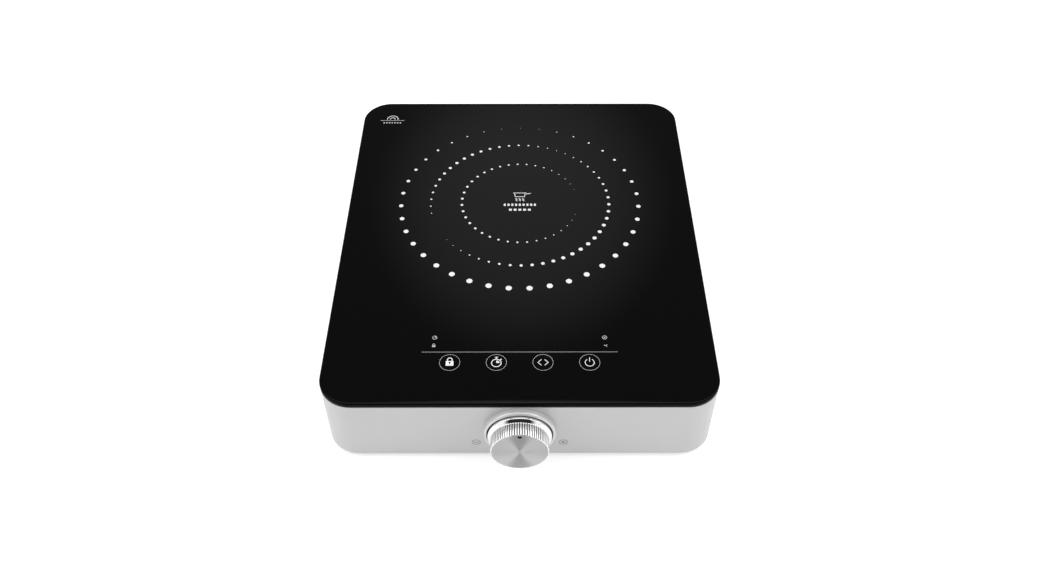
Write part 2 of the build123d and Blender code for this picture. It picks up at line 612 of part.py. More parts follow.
def coil_leads():
    """The winding's two ends, down through a gap in the former to their terminals."""
    angle = math.radians(COIL_LEAD_ANGLE)
    leads = []
    for r, x in zip(COIL_LEAD_R, TERMINAL_X):
        top_x, top_y = r * math.cos(angle), ZONE_Y + r * math.sin(angle)
        down = [(top_x, top_y, COIL_Z), (top_x, top_y, 42)]
        leads.append(lead(down + [(x, TERMINAL_Y, 33), (x, TERMINAL_Y, BOARD_TOP + TERMINAL_H)], 1.6, 6.0))
    return group(leads)


# ---- Fan ------------------------------------------------------------------------------
def fan_tube(r_out, r_in, z0, z1):
    return tube(FAN_X, FAN_Y, r_out, r_in, z0, z1)


FAN_DUCT_R = 44.0
FAN_PLATE_Z = FAN_TOP - 3.0
FAN_CUP_R = 19.0


def fan_frame():
    """The square frame, its motor plate and four struts on the outlet side, and the bearing tube."""
    half = FAN_SIZE / 2
    frame = block(FAN_X - half, FAN_X + half, FAN_Y - half, FAN_Y + half, FAN_Z, FAN_TOP, edge=4)
    frame -= post(FAN_X, FAN_Y, FAN_DUCT_R, FAN_Z - 1, FAN_TOP + 1)
    frame += post(FAN_X, FAN_Y, FAN_CUP_R, FAN_PLATE_Z, FAN_TOP)
    for k in range(4):
        strut = Pos(32, 0, FAN_PLATE_Z) * Box(27, 4, 3, align=(Align.CENTER, Align.CENTER, Align.MIN))
        frame += Pos(FAN_X, PANEL_Y + FAN_Y, 0) * (Rot(0, 0, 20 + 90 * k) * strut)
    frame += fan_tube(4.6, 3.2, FAN_PLATE_Z - 13, FAN_PLATE_Z)
    return frame - [post(x, y, 2.15, FAN_Z - 1, FAN_TOP + 1) for x, y in FAN_SCREWS]


def fan_rotor():
    """The hub cup, closed on the inlet side, and its pitched blades."""
    cup_z0, cup_z1 = FAN_Z + 2.0, FAN_PLATE_Z - 1.0
    cup = post(FAN_X, FAN_Y, FAN_CUP_R, cup_z0, cup_z1)
    cup = fillet(cup.edges().group_by(Axis.Z)[0], 1.5)
    cup -= post(FAN_X, FAN_Y, FAN_CUP_R - 1.5, cup_z0 + 2.0, cup_z1 + 1)
    cup -= post(FAN_X, FAN_Y, 1.5, cup_z0 - 1, cup_z0 + 3)
    sweep_zone = fan_tube(FAN_DUCT_R - 1.0, FAN_CUP_R - 0.7, cup_z0 + 1.0, cup_z1 - 0.5)
    middle = (cup_z0 + cup_z1) / 2
    for k in range(FAN_BLADES):
        blade = Pos(32, 0, middle) * (Rot(38, 0, 0) * Box(34, 26, 1.5))
        blade = Pos(FAN_X, PANEL_Y + FAN_Y, 0) * (Rot(0, 0, 360.0 * k / FAN_BLADES) * blade)
        cup += blade & sweep_zone
    return cup


def fan_axle():
    return post(FAN_X, FAN_Y, 1.5, FAN_Z + 2.0, FAN_PLATE_Z - 0.5)


def fan_magnet():
    return fan_tube(FAN_CUP_R - 1.6, FAN_CUP_R - 3.6, FAN_Z + 4.4, FAN_PLATE_Z - 2.0)


def fan_bearing():
    return fan_tube(3.15, 1.5 + RUNNING_GAP, FAN_PLATE_Z - 12.8, FAN_PLATE_Z - 0.3)


def fan_stator():
    """The laminated core with four wound poles round the bearing tube."""
    core = fan_tube(9.0, 4.7, FAN_PLATE_Z - 10, FAN_PLATE_Z - 1.5)
    poles = fan_tube(14.6, 8.9, FAN_PLATE_Z - 9, FAN_PLATE_Z - 3)
    for k in range(4):
        gap = Pos(12, 0, FAN_PLATE_Z - 6) * Box(7.5, 3.0, 12)
        poles -= Pos(FAN_X, PANEL_Y + FAN_Y, 0) * (Rot(0, 0, 45 + 90 * k) * gap)
    return core + poles


def fan_screws():
    return group(pan_screw(x, y, FAN_TOP, FAN_T + 2.0) for x, y in FAN_SCREWS)


def fan_lead():
    start_x, end_x, z = -50.0, 2.0, 24.0
    start_y = FAN_Y - FAN_SIZE / 2
    y = start_y - 11
    route = [(start_x, start_y, z), (start_x, y, z), (end_x, y, z), (end_x, y, BOARD_TOP)]
    return lead(route, 1.2, 5.0)


def air_guide():
    """A hood over the fan, open towards the heatsink."""
    half, wall, top = FAN_SIZE / 2, 1.6, 43.4
    hood = block(FAN_X - half, FAN_X + half, FAN_Y - half, FAN_Y + half, FAN_TOP + CLEAR, top, edge=4)
    x0, x1 = FAN_X - half + wall, FAN_X + half + wall
    return hood - block(x0, x1, FAN_Y - half + wall, FAN_Y + half - wall, FAN_TOP - 1, top - wall)


# ---- Power board ----------------------------------------------------------------------
# Where each part stands on the board, as x and y from the middle of the glass.
IGBT_AT = (6.0, 48.0)
BRIDGE_AT = (14.0, 86.0)
FILTERS_AT = ((64.0, 46.0), (64.0, 66.0))
RESONANCE_AT = (104.0, 52.0)
CHOKE_AT = (66.0, 98.0)
TRANSFORMER_AT = (104.0, 92.0)
FUSE_AT = (102.0, 122.0)
TABS_AT = ((66.0, 122.1), (76.0, 122.1))


def power_board():
    x0, x1, y0, y1 = BOARD_BOX
    board = block(x0, x1, y0, y1, BOARD_Z, BOARD_TOP, edge=2)
    return board - [post(x, y, 1.7, BOARD_Z - 1, BOARD_TOP + 1) for x, y in BOARD_SCREWS]


def board_screws():
    return group(pan_screw(x, y, BOARD_TOP, 7.0) for x, y in BOARD_SCREWS)


def heatsink():
    """An extruded sink: a base on four legs, with fins along the air's path."""
    x0, x1, y0, y1, z0, z1 = SINK_BOX
    sink = block(x0, x1, y0, y1, z0, z0 + 4)
    count, fin_t = 13, 1.6
    step = (y1 - y0 - fin_t) / (count - 1)
    for k in range(count):
        sink += block(x0, x1, y0 + k * step, y0 + k * step + fin_t, z0 + 4, z1)
    for x in (x0 + 4, x1 - 4):
        for y in (y0 + 4, y1 - 4):
            sink += post(x, y, 3.0, BOARD_TOP, z0)
    return sink


def flat_package(x, y, w, d, pins):
    """A power semiconductor lying under the heatsink, its pins down to the board."""
    body = block(x - w / 2, x + w / 2, y - d / 2, y + d / 2, SINK_Z - 5, SINK_Z)
    body = chamfer(body.edges().group_by(Axis.Z)[0], 0.6)
    pitch = w / (pins + 1)
    for k in range(pins):
        px = x - w / 2 + (k + 1) * pitch
        body += block(px - 0.6, px + 0.6, y - d / 2 - 3, y - d / 2 + 0.5, SINK_Z - 2.6, SINK_Z - 1.9)
        body += block(px - 0.6, px + 0.6, y - d / 2 - 3, y - d / 2 - 2.3, BOARD_TOP, SINK_Z - 1.9)
    return body


def igbt():
    return flat_package(*IGBT_AT, 16, 21, 3)


def bridge_rectifier():
    return flat_package(*BRIDGE_AT, 30, 20, 4)


def film_capacitor(x, y, w, d, h):
    """A block-shaped capacitor standing on the power board."""
    body = block(x - w / 2, x + w / 2, y - d / 2, y + d / 2, BOARD_TOP, BOARD_TOP + h, edge=1.2)
    return chamfer(body.edges().group_by(Axis.Z)[-1], 0.7)


def filter_capacitors():
    return group(film_capacitor(x, y, 30, 13, 24) for x, y in FILTERS_AT)


def resonance_capacitor():
    return film_capacitor(*RESONANCE_AT, 38, 20, 30)


def line_choke():
    """A wound ring core lying on a base."""
    x, y = CHOKE_AT
    core = Pos(x, PANEL_Y + y, BOARD_TOP + 7.2) * Torus(10.5, 5.0)
    return core + post(x, y, 12, BOARD_TOP, BOARD_TOP + 3.2)


def power_transformer():
    x, y = TRANSFORMER_AT
    core = block(x - 12, x + 12, y - 10, y + 10, BOARD_TOP, BOARD_TOP + 17)
    return chamfer(core.edges().group_by(Axis.Z)[-1], 1.0)


def fuse():
    """A glass fuse in two clips."""
    x, y = FUSE_AT
    axis_z = BOARD_TOP + 4.5
    rod = Pos(x, PANEL_Y + y, axis_z) * (Rot(0, 90, 0) * Cylinder(2.5, 20))
    for end in (x - 7, x + 7):
        rod += block(end - 2, end + 2, y - 3.2, y + 3.2, BOARD_TOP, axis_z + 2.0)
    return rod


def mains_terminals():
    """Two blade tabs for the supply wires."""
    tabs = [block(x - 0.4, x + 0.4, y - 3.1, y + 3.2, BOARD_TOP, BOARD_TOP + 9) for x, y in TABS_AT]
    return group(tabs)


# ---- Every node of the hob ------------------------------------------------------------
PIECES = [
    glass_panel, glass_gasket, housing, base_tray, feet, base_screws, rear_grille, cord_gland,
    knob_bezel, bezel_liner, knob_shell, knob_hub, knob_face, knob_marker,
    encoder_body, encoder_bushing, encoder_shaft, encoder_nut, encoder_board, encoder_screws, encoder_lead,
    control_bracket, control_board, control_screws, touch_springs, display_module, light_shields,
    indicator_leds, ribbon_sockets, ribbon_cable,
    induction_coil, coil_former, ferrite_bars, mica_sheet, insulation_pad, sensor_holder,
    temperature_sensor, coil_screws, coil_terminals, coil_leads,
    fan_frame, fan_rotor, fan_axle, fan_magnet, fan_bearing, fan_stator, fan_screws, fan_lead, air_guide,
    power_board, board_screws, heatsink, igbt, bridge_rectifier, filter_capacitors, resonance_capacitor,
    line_choke, power_transformer, fuse, mains_terminals,
]

os.makedirs("parts", exist_ok=True)
for piece in PIECES:
    shape = piece()
    export_step(shape, f"parts/{piece.__name__}.step")
    print(f"{piece.__name__}: {len(shape.solids())} solids, {shape.volume:.1f} mm3")
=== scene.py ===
import json
import math

import bmesh
import bpy
from mathutils import Matrix, Vector


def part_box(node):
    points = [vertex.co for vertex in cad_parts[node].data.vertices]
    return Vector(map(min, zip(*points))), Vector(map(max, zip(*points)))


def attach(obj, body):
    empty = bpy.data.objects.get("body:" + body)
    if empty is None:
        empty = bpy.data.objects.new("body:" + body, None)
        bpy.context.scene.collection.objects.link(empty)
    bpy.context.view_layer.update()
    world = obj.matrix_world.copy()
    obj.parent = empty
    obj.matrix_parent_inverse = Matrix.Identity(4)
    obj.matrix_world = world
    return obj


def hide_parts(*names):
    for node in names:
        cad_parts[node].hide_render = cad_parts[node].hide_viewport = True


# A portable induction hob. Metres, +Z up, the knob at -Y. Places come from the frame's own boxes.
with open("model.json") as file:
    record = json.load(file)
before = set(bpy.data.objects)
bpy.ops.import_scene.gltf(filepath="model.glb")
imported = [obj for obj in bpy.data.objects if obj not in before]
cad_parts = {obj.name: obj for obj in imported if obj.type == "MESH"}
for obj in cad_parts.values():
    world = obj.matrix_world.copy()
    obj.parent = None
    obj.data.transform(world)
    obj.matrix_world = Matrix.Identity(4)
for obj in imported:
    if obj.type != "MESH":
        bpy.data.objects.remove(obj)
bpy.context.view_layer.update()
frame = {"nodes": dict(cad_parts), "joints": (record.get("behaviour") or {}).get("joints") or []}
nodes = frame["nodes"]
joints = {j["name"]: Vector(j["pos_m"]) for j in frame["joints"]}

MM = 0.001
glass_low, glass_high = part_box("glass_panel")
coil_low, coil_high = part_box("induction_coil")
FRONT_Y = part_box("housing")[0].y                                       # the shell's front face
GLASS_TOP = glass_high.z
GLASS_CORNER = 24.5 * MM                                               # radius of its corners from above
PANEL = Vector((0, (glass_low.y + glass_high.y) / 2, GLASS_TOP))       # middle of the glass
ZONE = Vector((0, (coil_low.y + coil_high.y) / 2, GLASS_TOP))          # middle of the cooking zone
ZONE_OFF = (ZONE.y - PANEL.y) / MM                                     # how far ZONE is behind PANEL, in mm
KNOB = joints["knob_turn"]                                             # where its axis meets the shell's face
INK = 0.03 * MM                                                        # how far a print stands off its face

CAMERA_OFFSET = Vector((0.00184, -0.62739, 0.56784))                   # from the middle of the cooking zone
CAMERA_LENS = 33.956
CAMERA_PITCH, CAMERA_YAW, CAMERA_ROLL = 46.904, 0.160, 0.049           # degrees down, right and over

# The studio that reflections see. START and FULL are shares of a direction, from -1 to 1: its part to the
# rear, to either side or upward. A level begins at the first and is whole at the second.
GLOW_RISE = math.radians(42.6)                                         # height of the faint glow behind
GLOW_REACH = math.radians(9.2)
GLOW_LEVEL = 0.325
FRONT_START, BACK_FULL = -0.2, 0.35
FRONT_LEVEL, BACK_LEVEL = 0.024, 0.122
SIDE_START, SIDE_FULL = 0.44, 0.66
SIDE_LEVEL = 1.0
ROOF_START, ROOF_FULL = 0.812, 0.826
ROOF_LEVEL = 0.52
FLOOR_GLOW = 0.62
SOFT_BOXES = (
    # name, place, what it faces, width and depth, watts
    ("box_left", (-1.0, -0.15, 0.75), (0, 0, 0), (0.9, 0.9), 4),
    ("box_right", (1.0, -0.15, 0.75), (0, 0, 0), (0.9, 0.9), 4),
    ("box_top", (0, -0.35, 1.35), (0, -0.35, 0), (2.4, 1.5), 8),
)


# ---- Camera, lights and floor ---------------------------------------------------------
def make_camera():
    data = bpy.data.cameras.new("camera")
    data.sensor_width = 36.0
    data.lens = CAMERA_LENS
    camera = bpy.data.objects.new("camera", data)
    camera.location = ZONE + CAMERA_OFFSET
    turn = Matrix.Rotation(math.radians(-CAMERA_YAW), 4, "Z")
    turn @= Matrix.Rotation(math.radians(90 - CAMERA_PITCH), 4, "X")
    turn @= Matrix.Rotation(math.radians(CAMERA_ROLL), 4, "Z")
    camera.rotation_euler = turn.to_euler()
    bpy.context.scene.collection.objects.link(camera)
    bpy.context.scene.camera = camera


def soft_box(name, place, target, size, power):
    data = bpy.data.lights.new(name, "AREA")
    data.shape = "RECTANGLE"
    data.size, data.size_y = size
    data.energy = power
    light = bpy.data.objects.new(name, data)
    light.location = place
    light.rotation_euler = (Vector(target) - Vector(place)).to_track_quat("-Z", "Y").to_euler()
    bpy.context.scene.collection.objects.link(light)


def make_world():
    """A studio, white where it is seen directly.

    In reflections it is pale at the sides and overhead, dark in front, and dim behind with one faint glow.
    """
    world = bpy.data.worlds.new("studio")
    world.use_nodes = True
    bpy.context.scene.world = world
    tree = world.node_tree
    tree.nodes.clear()
    out = tree.nodes.new("ShaderNodeOutputWorld")
    back = tree.nodes.new("ShaderNodeBackground")
    back.inputs["Color"].default_value = (1.0, 1.0, 1.0, 1.0)
    tree.links.new(back.outputs[0], out.inputs[0])
    way = tree.nodes.new("ShaderNodeTexCoord")

    def dot_with(vector):
        node = tree.nodes.new("ShaderNodeVectorMath")
        node.operation = "DOT_PRODUCT"
        tree.links.new(way.outputs["Generated"], node.inputs[0])
        node.inputs[1].default_value = vector
        return node.outputs["Value"]

    def mapped(value, low, high, to_low, to_high):
        node = tree.nodes.new("ShaderNodeMapRange")
        node.interpolation_type = "SMOOTHSTEP"
        tree.links.new(value, node.inputs["Value"])
        for name, number in (("From Min", low), ("From Max", high), ("To Min", to_low), ("To Max", to_high)):
            node.inputs[name].default_value = number
        return node.outputs["Result"]

    def joined(operation, a, b=None):
        node = tree.nodes.new("ShaderNodeMath")
        node.operation = operation
        for socket, value in zip(node.inputs, (a, b)):
            if value is not None:
                tree.links.new(value, socket)
        return node.outputs[0]

    glow = Vector((0, math.cos(GLOW_RISE), math.sin(GLOW_RISE)))
    level = mapped(dot_with((0, 1, 0)), FRONT_START, BACK_FULL, FRONT_LEVEL, BACK_LEVEL)
    level = joined("ADD", level, mapped(dot_with(glow), math.cos(GLOW_REACH), 1.0, 0.0, GLOW_LEVEL))
    aside = joined("ABSOLUTE", dot_with((1, 0, 0)))
    level = joined("ADD", level, mapped(aside, SIDE_START, SIDE_FULL, 0.0, SIDE_LEVEL))
    level = joined("ADD", level, mapped(dot_with((0, 0, 1)), ROOF_START, ROOF_FULL, 0.0, ROOF_LEVEL))
    seen = tree.nodes.new("ShaderNodeLightPath")
    eye = tree.nodes.new("ShaderNodeMix")
    tree.links.new(seen.outputs["Is Camera Ray"], eye.inputs["Factor"])
    tree.links.new(level, eye.inputs["A"])
    eye.inputs["B"].default_value = 1.0
    tree.links.new(eye.outputs["Result"], back.inputs["Strength"])


def make_floor():
    bpy.ops.mesh.primitive_plane_add(size=30, location=(0, 0, 0))
    floor = bpy.context.object
    floor.name = "floor"
    surface = Surface("floor_paper", (0.6, 0.6, 0.6), 0.8)
    surface.set("Specular IOR Level", 0.0)
    surface.set("Emission Color", (1.0, 1.0, 1.0, 1.0))
    surface.set("Emission Strength", FLOOR_GLOW)
    surface.dress(floor)


# ---- Materials ------------------------------------------------------------------------
class Surface:
    """A Principled material with helpers that add procedural detail in object space, in metres."""

    def __init__(self, name, colour, rough, metallic=0.0):
        self.material = bpy.data.materials.new(name)
        self.material.use_nodes = True
        self.tree = self.material.node_tree
        self.shader = self.tree.nodes["Principled BSDF"]
        self.colour, self.rough = colour, rough
        self.heights = []
        self.set("Base Color", (*colour, 1.0))
        self.set("Roughness", rough)
        self.set("Metallic", metallic)
        self.coords = None

    def set(self, socket, value):
        self.shader.inputs[socket].default_value = value
        return self

    def node(self, kind, **values):
        made = self.tree.nodes.new("ShaderNode" + kind)
        for key, value in values.items():
            setattr(made, key, value)
        return made

    def link(self, a, b):
        self.tree.links.new(a, b)

    def position(self, stretch=(1, 1, 1), middle=(0, 0, 0)):
        """Object coordinates from middle, stretched by a factor along each axis."""
        if self.coords is None:
            self.coords = self.node("TexCoord").outputs["Object"]
        mapping = self.node("Mapping", vector_type="TEXTURE")
        mapping.inputs["Location"].default_value = middle
        mapping.inputs["Scale"].default_value = stretch
        self.link(self.coords, mapping.inputs["Vector"])
        return mapping.outputs["Vector"]

    def noise(self, size, detail=2.0, stretch=(1, 1, 1), vector=None):
        """Noise whose features are about size metres across, as a value from 0 to 1."""
        made = self.node("TexNoise")
        made.inputs["Scale"].default_value = 1.0 / size
        made.inputs["Detail"].default_value = detail
        self.link(vector or self.position(stretch), made.inputs["Vector"])
        return made.outputs["Fac"]

    def math(self, operation, a, b=None):
        made = self.node("Math", operation=operation)
        for socket, value in zip(made.inputs, (a, b)):
            if value is None:
                continue
            if isinstance(value, (int, float)):
                socket.default_value = value
            else:
                self.link(value, socket)
        return made.outputs[0]

    def ranged(self, value, to_low, to_high, low=0.3, high=0.7):
        made = self.node("MapRange")
        self.link(value, made.inputs["Value"])
        for name, number in (("From Min", low), ("From Max", high), ("To Min", to_low), ("To Max", to_high)):
            made.inputs[name].default_value = number
        return made.outputs["Result"]

    def mix(self, factor, a, b):
        """Blends colours a and b, each a tuple or an output."""
        made = self.node("Mix", data_type="RGBA")
        self.link(factor, made.inputs["Factor"])
        for socket, value in zip((made.inputs[6], made.inputs[7]), (a, b)):
            if isinstance(value, tuple):
                socket.default_value = (*value, 1.0)
            else:
                self.link(value, socket)
        return made.outputs[2]

    def vary_colour(self, size, amount, detail=3.0, stretch=(1, 1, 1)):
        """Lightens and darkens the base colour by a share of itself."""
        dark = tuple(c * (1 - amount) for c in self.colour)
        light = tuple(min(1.0, c * (1 + amount)) for c in self.colour)
        factor = self.ranged(self.noise(size, detail, stretch), 0.0, 1.0)
        self.link(self.mix(factor, dark, light), self.shader.inputs["Base Color"])
        return self

    def vary_rough(self, size, amount, detail=3.0, stretch=(1, 1, 1)):
        least, most = max(0.0, self.rough - amount), self.rough + amount
        value = self.ranged(self.noise(size, detail, stretch), least, most)
        self.link(value, self.shader.inputs["Roughness"])
        return self

    def grain(self, size, depth, detail=2.0, stretch=(1, 1, 1)):
        """Adds relief depth metres deep, with features about size metres across."""
        self.heights.append((self.noise(size, detail, stretch), depth))
        return self

    def stripes(self, pitch, along):
        """Rounded ribs, one every pitch metres along an axis, as a value from 0 to 1."""
        parts = self.node("SeparateXYZ")
        self.link(self.position(), parts.inputs[0])
        share = self.math("MULTIPLY", parts.outputs[along.index(1)], math.pi / pitch)
        return self.math("ABSOLUTE", self.math("SINE", share))

    def cells(self, size, distance="EUCLIDEAN", feature="F1"):
        """Cell texture in cells about size metres across."""
        made = self.node("TexVoronoi", distance=distance, feature=feature)
        made.inputs["Scale"].default_value = 1.0 / size
        self.link(self.position(), made.inputs["Vector"])
        return made.outputs["Distance"]

    def axis_part(self, axis):
        """One coordinate, 0, 1 or 2 for x, y or z."""
        parts = self.node("SeparateXYZ")
        self.link(self.position(), parts.inputs[0])
        return parts.outputs[axis]

    def axis_distance(self, middle):
        """Distance from a front-to-back axis."""
        flat = self.node("VectorMath", operation="MULTIPLY")
        self.link(self.position(middle=middle), flat.inputs[0])
        flat.inputs[1].default_value = (1, 0, 1)
        radius = self.node("VectorMath", operation="LENGTH")
        self.link(flat.outputs[0], radius.inputs[0])
        return radius.outputs["Value"]

    def turning_lines(self, middle, width):
        """Fine circular lines about a front-to-back axis, as a value from 0 to 1."""
        lines = self.node("TexNoise", noise_dimensions="1D")
        lines.inputs["Scale"].default_value = 1.0 / width
        lines.inputs["Detail"].default_value = 3.0
        self.link(self.axis_distance(middle), lines.inputs["W"])
        return lines.outputs["Fac"]

    def relief(self, value, depth):
        self.heights.append((value, depth))
        return self

    def dress(self, *objects):
        """Joins the relief into one chain of bumps and gives the material to the objects."""
        normal = None
        for height, depth in self.heights:
            bump = self.node("Bump")
            bump.inputs["Distance"].default_value = depth
            bump.inputs["Strength"].default_value = 1.0
            self.link(height, bump.inputs["Height"])
            if normal is not None:
                self.link(normal, bump.inputs["Normal"])
            normal = bump.outputs["Normal"]
        if normal is not None:
            self.link(normal, self.shader.inputs["Normal"])
        self.heights = []
        for thing in objects:
            thing = nodes[thing] if isinstance(thing, str) else thing
            thing.data.materials.clear()
            thing.data.materials.append(self.material)
        return self.material


def moulded(name, colour, rough, grain=0.35 * MM, depth=0.012 * MM):
    """Injection-moulded plastic: spark-eroded grain and slight cloudiness."""
    surface = Surface(name, colour, rough)
    return surface.vary_colour(14 * MM, 0.06).vary_rough(6 * MM, 0.05).grain(grain, depth)


def brushed_metal(name, colour, rough, along=(1, 0, 0)):
    """Straight-brushed metal, its lines along one axis."""
    stretch = tuple(60.0 if a else 1.0 for a in along)
    surface = Surface(name, colour, rough, 1.0)
    surface.vary_colour(0.5 * MM, 0.05, stretch=stretch).vary_rough(0.8 * MM, 0.07, stretch=stretch)
    return surface.grain(0.25 * MM, 0.004 * MM, stretch=stretch)


# ---- Mesh helpers ---------------------------------------------------------------------
def finished(name, mesh, body, smooth_angle=30):
    """Turns a bmesh into a named piece on a body, smooth apart from edges sharper than the angle."""
    data = bpy.data.meshes.new(name)
    bmesh.ops.recalc_face_normals(mesh, faces=mesh.faces)
    mesh.to_mesh(data)
    mesh.free()
    for polygon in data.polygons:
        polygon.use_smooth = True
    data.set_sharp_from_angle(angle=math.radians(smooth_angle))
    piece = bpy.data.objects.new(name, data)
    bpy.context.scene.collection.objects.link(piece)
    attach(piece, body)
    return piece


def loop_of(mesh, points):
    return [mesh.verts.new(p) for p in points]


def bridge(mesh, lower, upper, closed=True):
    """Quads between two loops of the same length."""
    count = len(lower)
    for i in range(count if closed else count - 1):
        j = (i + 1) % count
        mesh.faces.new((lower[i], lower[j], upper[j], upper[i]))


def ring(mesh, radius, along, segments, place):
    """A circle of vertices, or a single one where the radius is 0."""
    if radius == 0:
        return mesh.verts.new(place(0.0, along, 0.0))
    return loop_of(mesh, [place(radius, along, 2 * math.pi * i / segments) for i in range(segments)])


def skin(mesh, rings):
    """Joins each ring to the next, and the last to the first. A ring may be a single vertex."""
    for a, b in zip(rings, rings[1:] + rings[:1]):
        tips = [part for part in (a, b) if isinstance(part, bmesh.types.BMVert)]
        if not tips:
            bridge(mesh, a, b)
        elif len(tips) == 1:
            rim = b if tips[0] is a else a
            for i, vert in enumerate(rim):
                mesh.faces.new((tips[0], vert, rim[(i + 1) % len(rim)]))


def lathe(mesh, profile, segments, place):
    """A solid turned from (radius, along) points in metres. place(radius, along, angle) gives each point."""
    skin(mesh, [ring(mesh, radius, along, segments, place) for radius, along in profile])


def about_knob(radius, out, angle):
    """A point about the knob's axis, out metres in front of the shell, its angle from straight up."""
    return KNOB + Vector((radius * math.sin(angle), -out, radius * math.cos(angle)))


# ---- Printing on the glass and the shell ----------------------------------------------
# Places and sizes are in millimetres, from the glass's middle or, for TURN, from the knob's axis.
KEY_X, KEY_Y = (-51.3, -17.1, 17.1, 51.3), -138.0
KEY_RING_R, KEY_RING_WIDTH = 7.45, 0.25
KEY_LINE_X, KEY_LINE_Y = 72.3, -128.2
LAMP_X, LAMP_Y, LAMP_R = 63.6, -114.3, 1.6
OUTER_R, MIDDLE_R, INNER_R = 100.87, 75.78, 49.4
EMBLEM_X, EMBLEM_Y = -118.5, 151.05
TURN_X, TURN_Z, TURN_R = 32.3, -15.1, 2.95


def around(x, y, radius, angles):
    """Points on a circle at angles in degrees from +x."""
    turns = [math.radians(angle) for angle in angles]
    return [(x + radius * math.cos(turn), y + radius * math.sin(turn)) for turn in turns]


class Print:
    """Flat ink shapes on a face. Each is a thin closed solid, placed from (x, y) points on the face."""

    def __init__(self, place):
        self.mesh = bmesh.new()
        self.place = place

    def polygon(self, points):
        low = loop_of(self.mesh, [self.place(x, y, 0.0) for x, y in points])
        high = loop_of(self.mesh, [self.place(x, y, INK) for x, y in points])
        bridge(self.mesh, low, high)
        self.mesh.faces.new(high)
        self.mesh.faces.new(low[::-1])

    def bar(self, x, y, width, height):
        """A filled rectangle round its middle."""
        sides = ((-1, -1), (1, -1), (1, 1), (-1, 1))
        self.polygon([(x + sx * width / 2, y + sy * height / 2) for sx, sy in sides])

    def disc(self, x, y, radius, count=28):
        self.polygon(around(x, y, radius, [360 * i / count for i in range(count)]))

    def wedge(self, x, y, radius, step):
        """The upper right quarter of a disc."""
        self.polygon([(x, y)] + around(x, y, radius, range(0, 91, step)))

    def band(self, line, width, closed=False):
        """A line of constant width through points, with square ends."""
        inner, outer = [], []
        count = len(line)
        for i, (x, y) in enumerate(line):
            before = Vector(line[i - 1] if i or closed else line[0])
            after = Vector(line[(i + 1) % count] if i < count - 1 or closed else line[-1])
            here = Vector((x, y))
            first = (here - before).normalized() if (here - before).length else (after - here).normalized()
            second = (after - here).normalized() if (after - here).length else first
            side = Vector((-first.y - second.y, first.x + second.x)).normalized()
            reach = width / 2 / max(0.3, side.dot(Vector((-first.y, first.x))))
            inner.append((here - side * reach)[:])
            outer.append((here + side * reach)[:])
        in_low, in_high, out_low, out_high = (
            loop_of(self.mesh, [self.place(px, py, height) for px, py in points])
            for points in (inner, outer) for height in (0.0, INK)
        )
        for a, b in ((in_low, in_high), (in_high, out_high), (out_high, out_low), (out_low, in_low)):
            bridge(self.mesh, a, b, closed)
        if not closed:
            for end in (0, -1):
                self.mesh.faces.new([loop[end] for loop in (in_low, in_high, out_high, out_low)])

    def arc(self, x, y, radius, width, start=0.0, end=360.0):
        """A circle or part of one. Angles are in degrees from +x."""
        closed = abs(end - start) >= 360.0
        count = max(6, int(abs(end - start) / 6))
        steps = count if closed else count + 1
        angles = [start + (end - start) * i / count for i in range(steps)]
        self.band(around(x, y, radius, angles), width, closed)

    def piece(self, name, body, slot, surface):
        surface.dress(finished(name, self.mesh, body, 20))


def on_glass(x, y, height):
    """A point on the glass, in millimetres from its middle."""
    return PANEL + Vector((x * MM, y * MM, height))


def on_front(x, z, height):
    """A point on the shell's front face, in millimetres from the knob's axis."""
    return Vector((KNOB.x + x * MM, FRONT_Y - height, KNOB.z + z * MM))


def ink(name, level):
    surface = Surface(name, (level, level, level), 0.5)
    return surface.vary_colour(0.4 * MM, 0.03).grain(0.15 * MM, 0.003 * MM)


def zone_point(radius, degrees):
    """A point about the zone's middle, in millimetres from the glass's."""
    return around(0, ZONE_OFF, radius, [degrees])[0]


def dot_rings():
    """Three rings of dots whose size swells and shrinks round the zone."""
    white = ink("ink_white", 0.88)
    outer, middle, inner = (Print(on_glass) for _ in range(3))
    rearmost, pitch, widening = 89.72, 9.14, 1.7
    for i in range(-19, 20):
        # the pitch is a little wider close to the rearmost dot
        angle = rearmost + pitch * i + widening * math.copysign(1 - math.exp(-abs(i) / 2), i)
        from_front = abs(((angle + 90 + 180) % 360) - 180)
        outer.disc(*zone_point(OUTER_R, angle), swell(4.88, from_front / 180, 1.9, 0.45) / 2)
    first, pitch, count = 4.17, 6.6667, 54
    for k in range(count):
        angle = first + pitch * k
        size = middle_dot(angle)
        if size:
            middle.disc(*zone_point(MIDDLE_R, angle), size / 2)
    first, pitch, count = 4.615, 9.23, 18
    for k in range(count):
        from_left = first + pitch * k
        size = swell(2.34, from_left / 180, 1.8, 0.4)
        for side in (-1, 1):
            inner.disc(*zone_point(INNER_R, 180 + side * from_left), size / 2, 20)
    outer.piece("ring_dots_outer", "hob", "print_white", white)
    middle.piece("ring_dots_middle", "hob", "print_white", white)
    inner.piece("ring_dots_inner", "hob", "print_white", white)


def swell(largest, share, power, least):
    """A dot's size at a share of the way from the largest one to the smallest."""
    return max(least, largest * (1 - share ** power))


def middle_dot(angle):
    """The middle ring's dot size at an angle: two streams, each with a head and two tails. 0 is a gap."""
    gap_start, gap_end = 195, 213
    if gap_start < angle % 360 < gap_end:
        return 0.0
    sizes = []
    for head, largest, before, after in ((-45, 3.52, 104, 125), (134, 2.96, 84, 76)):
        turn = (angle - head + 180) % 360 - 180
        share = abs(turn) / (after if turn > 0 else before)
        sizes.append(swell(largest, min(share, 1.0), 1.5, 0.42))
    return max(sizes)


